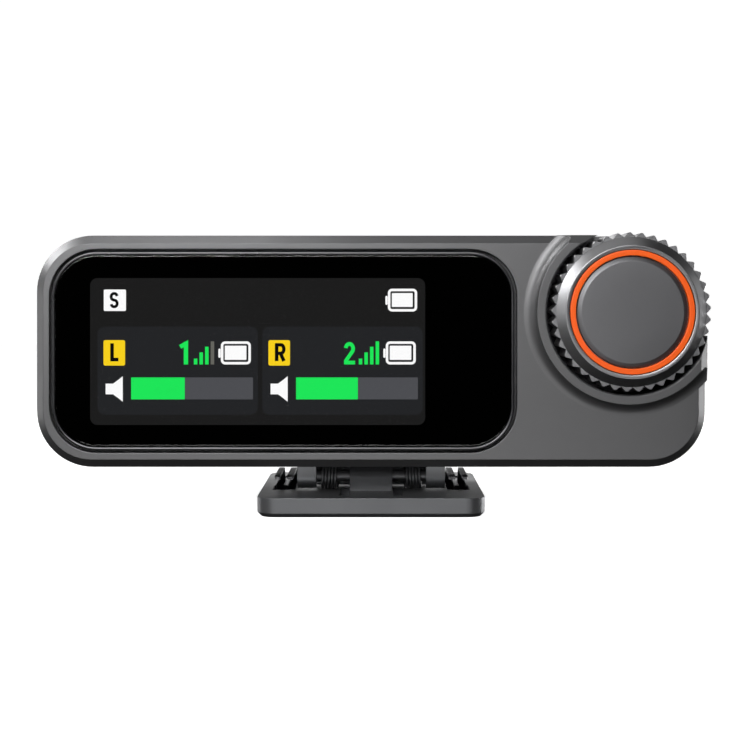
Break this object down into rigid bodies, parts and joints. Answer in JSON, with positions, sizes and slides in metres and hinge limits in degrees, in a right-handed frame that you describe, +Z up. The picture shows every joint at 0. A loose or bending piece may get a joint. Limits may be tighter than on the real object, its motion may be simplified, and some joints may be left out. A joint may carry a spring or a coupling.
{
  "type": "wireless microphone receiver",
  "caption": "Bar-shaped pocket receiver for wireless microphones: display under glass, knurled dial in a raised collar, and a sprung clip foot that fits an accessory shoe.",
  "frame": {"origin": "centre of the foot's underside, at rest", "axes": "+X to the viewer's right along the body, +Y to the back (the display faces -Y), +Z up"},
  "size_m": [0.054, 0.0224, 0.0229],
  "materials": {
    "body_paint": "satin metallic grey, fine grain",
    "cover_plastic": "fine matte texture",
    "black_rubber": "matte",
    "black_screw": "black zinc",
    "gold": "gold plated",
    "bright_trim": "polished edge",
    "cover_glass": "polished",
    "black_print": "black print",
    "display": "lit display",
    "steel": "plain",
    "flex_film": "polyimide film",
    "battery_pouch": "laminated foil pouch",
    "foam": "soft foam",
    "board": "solder mask",
    "black_plastic": "moulded",
    "copper": "etched copper",
    "light_pipe": "clear moulded",
    "foot_metal": "satin grey",
    "dial_metal": "satin grey anodised",
    "accent": "orange anodised",
    "dial_face": "satin grey",
    "button_plastic": "matte",
    "bracket_steel": "blasted stainless steel",
    "spring_steel": "blackened spring steel"
  },
  "bodies": {
    "receiver": {"front_housing": "body_paint", "rear_cover": "cover_plastic", "seam_gasket": "black_rubber", "housing_screws": "black_screw", "charging_contacts": "gold", "trim_ring": "bright_trim", "cover_glass": "cover_glass", "mask_frame": "black_print", "display_panel": "display", "display_tray": "steel", "display_flex": "flex_film", "battery": "battery_pouch", "battery_pad": "foam", "main_board": "board", "shield_can": "steel", "board_chips": "black_plastic", "antenna_left": "copper", "antenna_right": "copper", "usb_socket": "steel", "line_out_jack": "black_plastic", "monitor_jack": "black_plastic", "power_switch": "black_plastic", "status_light": "light_pipe", "dial_bush": "black_plastic", "encoder_body": "black_plastic", "press_switch": "black_plastic", "clip_bracket": "bracket_steel", "bracket_screws": "black_screw"},
    "plunger": {"dial_plunger": "black_plastic"},
    "dial": {"dial_wheel": "dial_metal", "dial_accent_ring": "accent", "dial_cap": "dial_face", "dial_shaft": "steel"},
    "button": {"power_button": "button_plastic"},
    "foot": {"clip_foot": "foot_metal", "hinge_pin": "spring_steel", "clip_spring_left": "spring_steel", "clip_spring_right": "spring_steel", "shoe_spring_left": "spring_steel", "shoe_spring_right": "spring_steel"}
  },
  "joints": [
    {"name": "dial_press", "type": "slide", "parent": "receiver", "child": "plunger", "axis": [0, 1, 0], "range_m": [0, 0.00035], "stiffness_N_per_m": 4000},
    {"name": "dial_turn", "type": "hinge", "parent": "plunger", "child": "dial", "pos_m": [0.02065, -0.01, 0.0166], "axis": [0, -1, 0], "continuous": true},
    {"name": "power_press", "type": "slide", "parent": "receiver", "child": "button", "axis": [0, 0, -1], "range_m": [0, 0.0002], "stiffness_N_per_m": 2000},
    {"name": "foot_open", "type": "hinge", "parent": "receiver", "child": "foot", "pos_m": [0, -0.0036, 0.00275], "axis": [-1, 0, 0], "range_deg": [0, 18], "stiffness_Nm_per_rad": 0.03, "springref_deg": -1.72}
  ]
}
